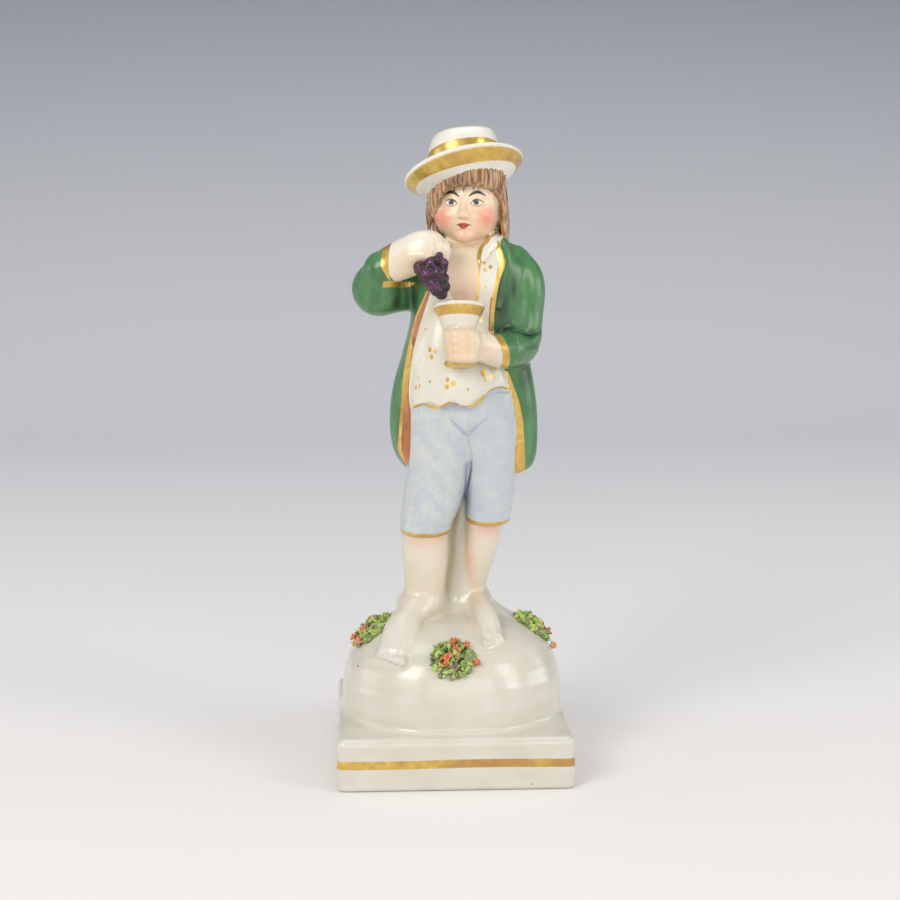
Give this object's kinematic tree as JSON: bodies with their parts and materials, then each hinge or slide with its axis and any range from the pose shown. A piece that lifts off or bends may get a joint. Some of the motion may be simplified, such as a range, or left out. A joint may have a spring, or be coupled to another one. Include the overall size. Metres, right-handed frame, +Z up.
{
  "type": "glazed earthenware figurine",
  "caption": "Small glazed earthenware figure of a standing boy in coat and brimmed hat, lifting grapes and holding a cup, on a square plinth; a mantel ornament.",
  "frame": {"origin": "middle of the plinth's flat underside", "axes": "+Z up along the figure's height, -Y towards the front that the boy faces, -X towards his right hand with the grapes"},
  "size_m": [0.054, 0.054, 0.1485],
  "materials": {
    "painted_glaze": "creamy pearl glaze with enamel colours and gilt lines, glossy",
    "grape_glaze": "near-black purple glaze, glossy",
    "spray_glaze": "green glaze with orange and purple florets, glossy"
  },
  "bodies": {
    "root": {"figure_and_plinth": "painted_glaze", "grape_bunch": "grape_glaze", "flower_spray_left": "spray_glaze", "flower_spray_front": "spray_glaze", "flower_spray_right": "spray_glaze"}
  },
  "joints": []
}
